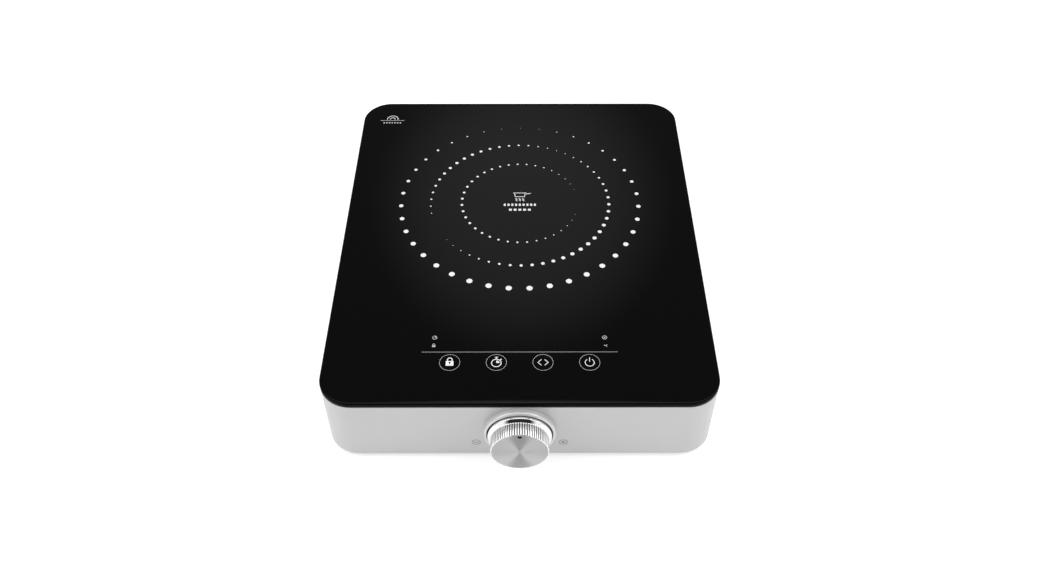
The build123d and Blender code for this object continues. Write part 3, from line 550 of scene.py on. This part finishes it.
def key_symbols():
    """Four ringed touch keys under a line: lock, timer, less and more, and power."""
    white = ink("ink_bright", 0.88)
    rings = Print(on_glass)
    for x in KEY_X:
        rings.arc(x, KEY_Y, KEY_RING_R, KEY_RING_WIDTH)
    rings.piece("key_rings", "hob", "print_white", ink("ink_ring", 0.55))
    lock_x, timer_x, level_x, power_x = KEY_X
    signs = Print(on_glass)
    padlock(signs, lock_x, KEY_Y + 0.5, 0.88)
    stopwatch(signs, timer_x, KEY_Y)
    for side in (-1, 1):
        back, tip = level_x + side * 1.2, level_x + side * 3.8
        signs.band([(back, KEY_Y + 2.7), (tip, KEY_Y), (back, KEY_Y - 2.7)], 0.52)
    signs.arc(power_x, KEY_Y - 0.2, 3.35, 0.55, 122, 418)
    signs.band([(power_x, KEY_Y + 4.5), (power_x, KEY_Y + 0.6)], 0.58)
    signs.piece("key_signs", "hob", "print_white", white)
    line = Print(on_glass)
    line.band([(-KEY_LINE_X, KEY_LINE_Y), (KEY_LINE_X, KEY_LINE_Y)], 0.6)
    line.piece("key_line", "hob", "print_grey", ink("ink_grey", 0.23))


def padlock(sheet, x, y, scale):
    """A closed padlock with a round-topped shackle and a keyhole left dark."""
    blocks = (
        (-3.2, -4.0, -0.75, 1.0), (0.75, -4.0, 3.2, 1.0), (-0.75, -4.0, 0.75, -2.7), (-0.75, 0.1, 0.75, 1.0),
        (-0.75, -2.7, -0.3, -1.3), (0.3, -2.7, 0.75, -1.3),
    )
    for x0, y0, x1, y1 in blocks:
        corners = ((x0, y0), (x1, y0), (x1, y1), (x0, y1))
        sheet.polygon([(x + dx * scale, y + dy * scale) for dx, dy in corners])
    bow = [(1.95, 1.0)] + around(0, 2.3, 1.95, range(0, 181, 15)) + [(-1.95, 1.0)]
    sheet.band([(x + dx * scale, y + dy * scale) for dx, dy in bow], 0.85 * scale)


def stopwatch(sheet, x, y):
    """A stopwatch: case, crown, side button and a filled quarter."""
    middle = y - 0.5
    sheet.arc(x, middle, 3.5, 0.65)
    sheet.band([(x - 1.2, y + 4.9), (x + 1.2, y + 4.9)], 0.55)
    sheet.band([(x, y + 4.8), (x, y + 3.2)], 0.7)
    sheet.band([(x + 2.9, y + 2.3), (x + 3.7, y + 3.1)], 1.0)
    sheet.wedge(x, middle, 2.3, 10)


def status_symbols():
    """Four small lamps' symbols: timer, lock, ready and heat."""
    signs = Print(on_glass)
    for side in (-1, 1):
        signs.arc(side * LAMP_X, LAMP_Y, LAMP_R, 0.42)
    signs.wedge(-LAMP_X, LAMP_Y, 1.2, 15)
    padlock(signs, -LAMP_X - 0.3, LAMP_Y - 7.5, 0.38)
    signs.band([(LAMP_X - 0.6, LAMP_Y - 0.7), (LAMP_X + 0.6, LAMP_Y + 0.7)], 0.6)
    fork_x, fork_y = LAMP_X + 0.3, LAMP_Y - 7.9
    signs.band([(fork_x - 1.3, fork_y + 0.5), (fork_x, fork_y), (fork_x + 1.2, fork_y + 0.9)], 0.5)
    signs.band([(fork_x, fork_y), (fork_x + 1.0, fork_y - 0.8)], 0.5)
    signs.piece("status_signs", "hob", "print_grey", ink("ink_soft", 0.55))


def zone_mark():
    """The zone's middle: a pan over waves, with two rows of plain bars."""
    signs = Print(on_glass)
    rim, floor, waves_from = ZONE_OFF + 11.0, ZONE_OFF + 6.4, ZONE_OFF + 0.9
    signs.band([(-4.6, rim), (-3.9, floor), (3.9, floor), (4.6, rim)], 0.62)
    signs.band([(-5.8, rim + 0.2), (5.8, rim + 0.2)], 0.62)
    signs.band([(5.4, rim - 1.2), (9.4, rim - 0.2)], 0.75)
    for x in (-2.9, 0.0, 2.9):
        steps = [(math.radians(turn * 2), turn / 360) for turn in range(0, 361, 20)]
        signs.band([(x + 0.7 * math.sin(phase), waves_from + 3.6 * share) for phase, share in steps], 0.5)
    for k in range(9):
        signs.bar(3.2 * (k - 4), ZONE_OFF - 3.8, 1.7, 2.8)
    for k in range(5):
        signs.bar(4.0 * (k - 2), ZONE_OFF - 10.0, 2.4, 2.4)
    signs.piece("zone_mark", "hob", "print_white", ink("ink_mark", 0.85))


def corner_emblem():
    """A plain emblem in the rear left corner: nested arches over a rule and a row of dashes."""
    signs = Print(on_glass)
    for radius in (2.2, 5.0):
        signs.arc(EMBLEM_X, EMBLEM_Y, radius, 0.7, -8, 188)
    rule_y, dashes_y = EMBLEM_Y - 1.9, EMBLEM_Y - 5.4
    signs.band([(EMBLEM_X - 11.0, rule_y), (EMBLEM_X + 11.0, rule_y)], 0.32)
    for k in range(7):
        x = EMBLEM_X + 2.5 * (k - 3)
        signs.band([(x - 0.65, dashes_y), (x + 0.65, dashes_y)], 1.1)
    signs.piece("corner_emblem", "hob", "print_white", ink("ink_emblem", 0.8))


def front_signs():
    """The ringed minus and plus beside the knob, in grey."""
    signs = Print(on_front)
    bar, minus_width, upright_width = 1.7, 0.75, 0.6
    for x in (-TURN_X, TURN_X):
        signs.arc(x, TURN_Z, TURN_R, 0.42)
        signs.band([(x - bar, TURN_Z), (x + bar, TURN_Z)], minus_width)
    for side in (-1, 1):
        ends = (TURN_Z + side * minus_width / 2, TURN_Z + side * bar)
        signs.band([(TURN_X, z) for z in ends], upright_width)
    signs.piece("turn_signs", "hob", "print_grey", ink("ink_shell", 0.09))


# ---- Glass, shell and knob ------------------------------------------------------------
def glass_top():
    """The ceramic glass plate, flat and glossy on top, its edge a ground bevel with soft corners."""
    size = glass_high - glass_low
    edge = (
        # inset from the outline and height over the glass's top, in millimetres
        (6.0, 0.0), (1.25, 0.0), (0.80, -0.015), (0.66, -0.06), (0.12, -0.62), (0.03, -0.80), (0.0, -1.05),
        (0.0, -3.45), (0.05, -3.65), (0.30, -3.95), (0.45, -4.0), (6.0, -4.0),
    )
    mesh = bmesh.new()
    loops = [rounded_loop(mesh, size.x / 2, size.y / 2, inset * MM, rise * MM) for inset, rise in edge]
    for upper, lower in zip(loops, loops[1:]):
        bridge(mesh, upper, lower)
    mesh.faces.new(loops[0])
    mesh.faces.new(loops[-1][::-1])
    piece = finished("glass_top", mesh, "hob", 40)
    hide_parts("glass_panel")
    ground = Surface("ground_edge", (0.0006, 0.0006, 0.0007), 0.42)
    ground.set("Specular IOR Level", 0.04)
    glass = Surface("black_glass", (0.0006, 0.0006, 0.0007), 0.03)
    glass.set("Specular IOR Level", 0.36)
    glass.vary_colour(55 * MM, 0.12).vary_rough(40 * MM, 0.012).grain(70 * MM, 0.003 * MM, 1.0)
    glass.dress(piece)
    piece.data.materials.append(ground.vary_rough(1.5 * MM, 0.08).grain(0.2 * MM, 0.004 * MM).dress())
    level_enough = 0.995
    for polygon in piece.data.polygons:
        polygon.material_index = int(polygon.normal.z < level_enough)


def rounded_loop(mesh, half_x, half_y, inset, rise, steps=20):
    """One level loop of the glass's rounded outline, inset from it, and risen from the glass's top."""
    points = []
    for k, (sx, sy) in enumerate(((1, 1), (-1, 1), (-1, -1), (1, -1))):
        centre = PANEL + Vector((sx * (half_x - GLASS_CORNER), sy * (half_y - GLASS_CORNER), rise))
        for i in range(steps + 1):
            turn = math.radians(90 * k + 90 * i / steps)
            points.append(centre + (GLASS_CORNER - inset) * Vector((math.cos(turn), math.sin(turn), 0)))
    return loop_of(mesh, points)


KNOB_OUTLINE = (
    # radius and distance in front of the shell in millimetres, and the share of a flute's depth cut there
    (19.6, 2.2, 0.0), (23.25, 2.2, 0.0), (23.46, 2.28, 0.0), (23.55, 2.5, 0.0), (23.55, 6.1, 0.0),
    (23.5, 6.3, 0.0), (23.36, 6.45, 0.0), (21.5, 7.84, 0.0), (21.3, 8.04, 0.0), (21.22, 8.3, 0.3),
    (21.2, 8.6, 1.0), (21.2, 18.36, 1.0), (21.16, 18.46, 1.0), (20.76, 18.8, 0.8), (20.71, 18.86, 0.4),
    (20.7, 18.88, 0.0), (20.7, 17.9, 0.0), (0.0, 17.9, 0.0), (0.0, 16.3, 0.0), (19.6, 16.3, 0.0),
)
DIAL_OUT = 18.86                     # the dial's front, in millimetres in front of the shell
MARKER_UP = 18.5 * MM                # the marker's place above the knob's axis
FLUTES = 72
FLUTE_DEPTH = 0.62 * MM
# where each flute is sampled across its pitch, and how deep it is there
FLUTE_SHAPE = (
    (0.0, 0.0), (0.1, 0.006), (0.18, 0.03), (0.235, 0.1), (0.28, 0.3), (0.335, 0.75), (0.39, 0.97),
    (0.61, 0.97), (0.665, 0.75), (0.72, 0.3), (0.765, 0.1), (0.82, 0.03), (0.9, 0.006),
)


def knob_grip():
    """The chromed outer: a plain skirt, a slope, and a grip whose grooves notch its front rim."""
    mesh = bmesh.new()
    rings = []
    pitch = 2 * math.pi / FLUTES
    for radius, out, cut in KNOB_OUTLINE:
        if radius == 0:
            rings.append(mesh.verts.new(about_knob(0, out * MM, 0)))
            continue
        rings.append(loop_of(mesh, [
            about_knob(radius * MM - cut * depth * FLUTE_DEPTH, out * MM, (k + share - 0.5) * pitch)
            for k in range(FLUTES) for share, depth in FLUTE_SHAPE
        ]))
    skin(mesh, rings)
    piece = finished("knob_grip", mesh, "knob", 34)
    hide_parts("knob_shell")
    # bright chrome, with painted shade on the floors of the grooves behind the rim
    bright, groove_shade = (0.88, 0.88, 0.89), (0.05, 0.05, 0.055)
    chrome = Surface("chrome_plate", bright, 0.08, 1.0)
    deep, shallow = 20.82 * MM, 21.1 * MM
    rim_back, rim_front = KNOB.y - 18.0 * MM, KNOB.y - 18.2 * MM
    # painted shade: the base colour turns near black on the groove floors, deep inside the grip and behind
    # its front rim
    groove = chrome.ranged(chrome.axis_distance(KNOB), 1.0, 0.0, deep, shallow)
    behind_rim = chrome.ranged(chrome.axis_part(1), 0.0, 1.0, rim_front, rim_back)
    groove_shade_mask = chrome.math("MULTIPLY", groove, behind_rim)
    chrome.link(chrome.mix(groove_shade_mask, bright, groove_shade), chrome.shader.inputs["Base Color"])
    chrome.vary_rough(4 * MM, 0.02).grain(3 * MM, 0.001 * MM)
    chrome.dress(piece)


def knob_dial():
    """The spun metal disc let into the front of the knob."""
    outline = (
        (0, 17.95), (20.6, 17.95), (20.68, 18.05), (20.68, DIAL_OUT - 0.1), (20.64, DIAL_OUT - 0.03),
        (20.56, DIAL_OUT), (0, DIAL_OUT),
    )
    mesh = bmesh.new()
    lathe(mesh, [(r * MM, out * MM) for r, out in outline], 144, about_knob)
    piece = finished("knob_dial", mesh, "knob")
    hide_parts("knob_face")
    spun = Surface("spun_face", (0.62, 0.62, 0.62), 0.60, 1.0)
    spun.set("Anisotropic", 1.0)
    spun.set("Anisotropic Rotation", 0.25)
    tangent = spun.node("Tangent", direction_type="RADIAL", axis="Y")
    spun.link(tangent.outputs[0], spun.shader.inputs["Tangent"])
    rings = spun.turning_lines(KNOB, 0.28 * MM)
    spun.relief(rings, 0.004 * MM)
    spun.link(spun.ranged(rings, 0.55, 0.65), spun.shader.inputs["Roughness"])
    spun.dress(piece)


def knob_dot():
    """The black dot on the dial, slightly crowned."""
    def about_dot(radius, out, angle):
        return about_knob(radius, out, angle) + Vector((0, 0, MARKER_UP))

    mesh = bmesh.new()
    outline = (
        (0, DIAL_OUT - 0.46), (1.65, DIAL_OUT - 0.46), (1.65, DIAL_OUT + 0.005), (1.55, DIAL_OUT + 0.02),
        (0.8, DIAL_OUT + 0.035), (0, DIAL_OUT + 0.04),
    )
    lathe(mesh, [(r * MM, out * MM) for r, out in outline], 40, about_dot)
    piece = finished("knob_dot", mesh, "knob", 40)
    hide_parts("knob_marker")
    enamel = moulded("dot_black", (0.003, 0.003, 0.003), 0.5, 0.1 * MM, 0.002 * MM)
    enamel.set("Specular IOR Level", 0.12)
    enamel.dress(piece)


# ---- Finishes for the parts that keep their CAD shape ---------------------------------
def silicone(name, colour, rough=0.5):
    """Soft rubber: matt, faintly dusty, with a fine even skin."""
    surface = Surface(name, colour, rough)
    surface.set("Sheen Weight", 0.15)
    return surface.vary_colour(5 * MM, 0.12).vary_rough(3 * MM, 0.06).grain(0.2 * MM, 0.01 * MM)


def plated(name, colour, rough, size=1.2 * MM):
    """Plated or turned metal: small tone shifts and fine tool marks."""
    surface = Surface(name, colour, rough, 1.0)
    return surface.vary_colour(size * 3, 0.08).vary_rough(size, 0.08).grain(0.15 * MM, 0.003 * MM)


def ceramic(name, colour, rough):
    """A pressed, fired body: fine pits and a speckled tone."""
    surface = Surface(name, colour, rough)
    return surface.vary_colour(0.4 * MM, 0.22).vary_rough(1 * MM, 0.08).grain(0.25 * MM, 0.03 * MM)


def wound(name, colour, rough, pitch=0.45 * MM, along=(0, 0, 1)):
    """Enamelled copper: strands side by side as a fine ribbing, tone changing from wire to wire."""
    surface = Surface(name, colour, rough, 1.0)
    surface.set("Coat Weight", 0.5)
    surface.set("Coat Roughness", 0.12)
    strands = surface.stripes(pitch, along)
    surface.relief(strands, 0.25 * pitch)
    return surface.vary_colour(1.5 * MM, 0.16)


def wool(name, colour):
    """Pressed ceramic fibre: a felt of long pale hairs."""
    surface = Surface(name, colour, 0.95)
    surface.set("Sheen Weight", 0.3)
    surface.vary_colour(4 * MM, 0.08)
    surface.grain(0.5 * MM, 0.12 * MM, 6.0, (6, 1, 1)).grain(0.5 * MM, 0.12 * MM, 6.0, (1, 6, 1))
    return surface


def flaked(name, colour):
    """Mica: overlapping silvery flakes under a clear binder."""
    surface = Surface(name, colour, 0.35)
    surface.set("Coat Weight", 0.3)
    flakes = surface.cells(5 * MM)
    darker = tuple(0.7 * c for c in colour)
    surface.link(surface.mix(flakes, darker, colour), surface.shader.inputs["Base Color"])
    return surface.relief(flakes, 0.05 * MM).vary_rough(3 * MM, 0.12)


def circuit(name):
    """A green board: solder mask over a maze of tracks, with bright tinned pads."""
    surface = Surface(name, (0.012, 0.11, 0.045), 0.3)
    surface.set("Coat Weight", 0.4)
    tracks = surface.ranged(surface.cells(2.6 * MM, "CHEBYCHEV", "DISTANCE_TO_EDGE"), 0.0, 1.0, 0.05, 0.12)
    pads = surface.ranged(surface.cells(6.5 * MM, "EUCLIDEAN", "F1"), 1.0, 0.0, 0.09, 0.11)
    masked = surface.mix(tracks, (0.03, 0.2, 0.09), (0.012, 0.11, 0.045))
    surface.link(surface.mix(pads, masked, (0.75, 0.73, 0.68)), surface.shader.inputs["Base Color"])
    surface.link(pads, surface.shader.inputs["Metallic"])
    return surface.relief(surface.math("SUBTRACT", pads, tracks), 0.03 * MM)


def ribbon(name):
    """A flat cable: parallel conductors moulded side by side."""
    surface = Surface(name, (0.42, 0.43, 0.45), 0.45)
    return surface.relief(surface.stripes(1.27 * MM, (1, 0, 0)), 0.2 * MM).vary_colour(6 * MM, 0.05)


def clear(name, colour, rough=0.05):
    """Clear glass or resin with faint internal streaks."""
    surface = Surface(name, colour, rough)
    surface.set("Transmission Weight", 0.85)
    surface.set("IOR", 1.48)
    return surface.vary_rough(2 * MM, 0.03).grain(1.5 * MM, 0.004 * MM)


def taped(name, colour):
    """Layers of polyester tape round a winding."""
    surface = Surface(name, colour, 0.28)
    surface.set("Coat Weight", 0.4)
    return surface.relief(surface.stripes(4.5 * MM, (0, 0, 1)), 0.08 * MM).vary_colour(3 * MM, 0.1)


def bead_blasted(name, colour, rough):
    """The shell's satin silver finish: metallic paint over a very fine grain."""
    surface = Surface(name, colour, rough, 0.45)
    return surface.vary_colour(40 * MM, 0.012).vary_rough(9 * MM, 0.02).grain(0.16 * MM, 0.0025 * MM)


FINISHES = {
    "gasket_silicone": lambda n: silicone(n, (0.03, 0.03, 0.032)),
    "shell_silver": lambda n: bead_blasted(n, (0.525, 0.525, 0.525), 0.38),
    "tray_black": lambda n: moulded(n, (0.03, 0.03, 0.032), 0.55, 0.5 * MM, 0.03 * MM),
    "foot_silicone": lambda n: silicone(n, (0.05, 0.05, 0.052), 0.6),
    "screw_steel": lambda n: plated(n, (0.62, 0.62, 0.64), 0.3, 0.6 * MM),
    "trim_black": lambda n: moulded(n, (0.012, 0.012, 0.013), 0.5, 0.3 * MM, 0.015 * MM),
    "bezel_satin": lambda n: bead_blasted(n, (0.66, 0.66, 0.67), 0.36),
    "knob_core": lambda n: moulded(n, (0.22, 0.22, 0.22), 0.45),
    "encoder_case": lambda n: moulded(n, (0.05, 0.055, 0.06), 0.4),
    "encoder_metal": lambda n: plated(n, (0.68, 0.66, 0.62), 0.28),
    "board_green": circuit,
    "wire_jacket": lambda n: silicone(n, (0.35, 0.03, 0.02), 0.4),
    "bracket_white": lambda n: moulded(n, (0.72, 0.72, 0.70), 0.5),
    "spring_steel": lambda n: plated(n, (0.58, 0.57, 0.55), 0.25, 0.4 * MM),
    "display_black": lambda n: moulded(n, (0.008, 0.008, 0.009), 0.18, 0.2 * MM, 0.002 * MM),
    "lamp_lens": lambda n: clear(n, (0.9, 0.25, 0.18), 0.12),
    "ribbon_grey": ribbon,
    "socket_white": lambda n: moulded(n, (0.78, 0.77, 0.72), 0.42, 0.2 * MM, 0.006 * MM),
    "litz_copper": lambda n: wound(n, (0.72, 0.30, 0.12), 0.32),
    "former_plastic": lambda n: moulded(n, (0.06, 0.045, 0.03), 0.5, 0.4 * MM, 0.02 * MM),
    "ferrite": lambda n: ceramic(n, (0.035, 0.035, 0.04), 0.5),
    "mica": lambda n: flaked(n, (0.55, 0.48, 0.36)),
    "fibre_wool": lambda n: wool(n, (0.82, 0.81, 0.77)),
    "sensor_silicone": lambda n: silicone(n, (0.75, 0.74, 0.71), 0.55),
    "sensor_glass": lambda n: clear(n, (0.85, 0.6, 0.35)),
    "terminal_brass": lambda n: plated(n, (0.80, 0.58, 0.27), 0.3, 0.5 * MM),
    "fan_plastic": lambda n: moulded(n, (0.018, 0.018, 0.02), 0.38, 0.35 * MM, 0.01 * MM),
    "axle_steel": lambda n: plated(n, (0.7, 0.7, 0.71), 0.15, 0.3 * MM),
    "magnet": lambda n: ceramic(n, (0.06, 0.055, 0.05), 0.6),
    "bearing_bronze": lambda n: plated(n, (0.62, 0.42, 0.22), 0.4, 0.25 * MM),
    "stator_winding": lambda n: wound(n, (0.70, 0.28, 0.10), 0.3, 0.3 * MM),
    "sink_aluminium": lambda n: brushed_metal(n, (0.74, 0.75, 0.76), 0.35, (0, 1, 0)),
    "package_epoxy": lambda n: moulded(n, (0.015, 0.015, 0.016), 0.6, 0.12 * MM, 0.008 * MM),
    "film_yellow": lambda n: moulded(n, (0.72, 0.5, 0.05), 0.35, 0.4 * MM, 0.01 * MM),
    "film_blue": lambda n: moulded(n, (0.03, 0.1, 0.35), 0.35, 0.4 * MM, 0.01 * MM),
    "choke_winding": lambda n: wound(n, (0.74, 0.33, 0.13), 0.28, 0.9 * MM),
    "transformer_tape": lambda n: taped(n, (0.75, 0.55, 0.08)),
    "fuse_glass": lambda n: clear(n, (0.92, 0.93, 0.92)),
}


def dress_carried_nodes():
    """Gives every CAD part the finish of the slot that it was packed with, and the bezel's liner a paler dark
    grey: a plastic liner whose darkness is also painted shade in the gap round the knob.

    Slots whose nodes are all replaced by drawn pieces, such as the glass panel's, have none here.
    """
    by_slot = {}
    for name in sorted(nodes):
        by_slot.setdefault(nodes[name].data.materials[0].name, []).append(name)
    for slot, members in sorted(by_slot.items()):
        if slot in FINISHES:
            FINISHES[slot](slot).dress(*members)
    # painted shade: the liner's dark grey stands in for the shade in the gap between the bezel and the knob's
    # skirt
    moulded("liner_grey", (0.06, 0.06, 0.06), 0.6).dress("bezel_liner")


make_camera()
make_world()
make_floor()
for box in SOFT_BOXES:
    soft_box(*box)
bpy.context.scene.view_settings.view_transform = "Standard"
dress_carried_nodes()
glass_top()
knob_grip()
knob_dial()
knob_dot()
dot_rings()
key_symbols()
status_symbols()
zone_mark()
corner_emblem()
front_signs()
